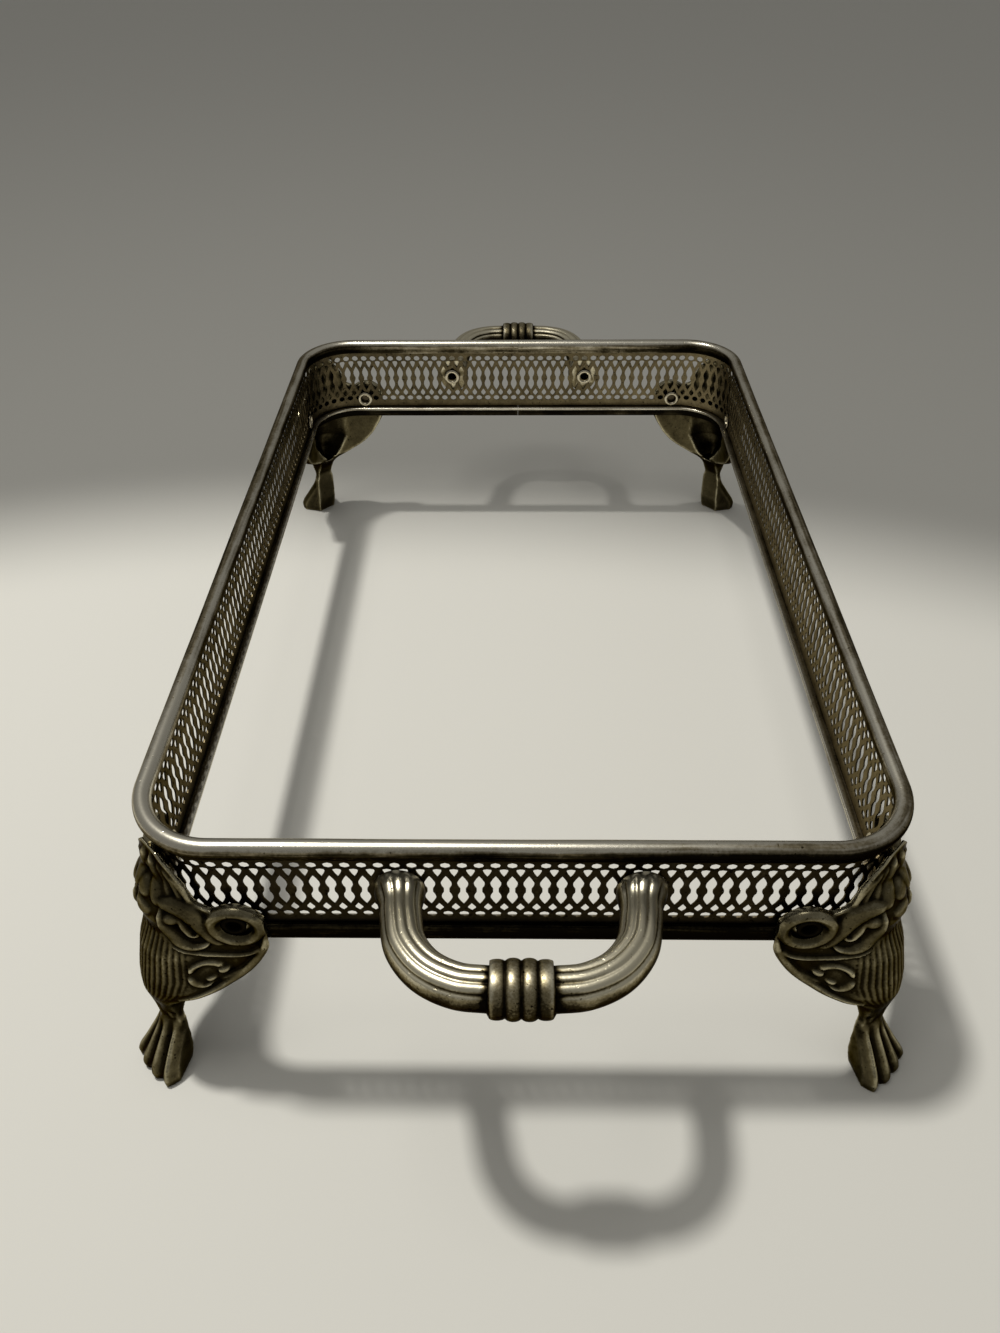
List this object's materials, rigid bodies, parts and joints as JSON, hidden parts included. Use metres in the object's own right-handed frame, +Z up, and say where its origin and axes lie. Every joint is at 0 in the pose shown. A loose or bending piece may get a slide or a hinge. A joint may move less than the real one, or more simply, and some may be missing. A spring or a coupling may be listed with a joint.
{
  "type": "casserole holder",
  "caption": "Rectangular footed stand for an oven dish: pierced gallery between a rolled rim and a ledge rail, cast scroll feet at the corners and a reeded handle at each end.",
  "frame": {"origin": "on the table under the middle of the holder", "axes": "+Z up; Y along the holder from handle to handle, the near handle in the picture at -Y; X across it"},
  "size_m": [0.2592, 0.4294, 0.1059],
  "materials": {
    "worn_plate": "silver plate on brass, tarnished and rubbed bright on the high parts",
    "dark_sheet": "silver plate on brass sheet, dulled",
    "dark_casting": "silver plate on a cast alloy, dark in the hollows",
    "rivet_tube": "dull tubular rivet"
  },
  "bodies": {
    "root": {"top_rim": "worn_plate", "pierced_gallery": "dark_sheet", "bottom_rail": "worn_plate", "foot_front_left": "dark_casting", "foot_front_right": "dark_casting", "foot_back_left": "dark_casting", "foot_back_right": "dark_casting", "handle_front": "worn_plate", "handle_back": "worn_plate", "foot_rivet_front_left_end": "rivet_tube", "foot_rivet_front_left_flank": "rivet_tube", "foot_rivet_front_right_end": "rivet_tube", "foot_rivet_front_right_flank": "rivet_tube", "foot_rivet_back_left_end": "rivet_tube", "foot_rivet_back_left_flank": "rivet_tube", "foot_rivet_back_right_end": "rivet_tube", "foot_rivet_back_right_flank": "rivet_tube", "handle_rivet_front_left": "rivet_tube", "handle_rivet_front_right": "rivet_tube", "handle_rivet_back_left": "rivet_tube", "handle_rivet_back_right": "rivet_tube"}
  },
  "joints": []
}
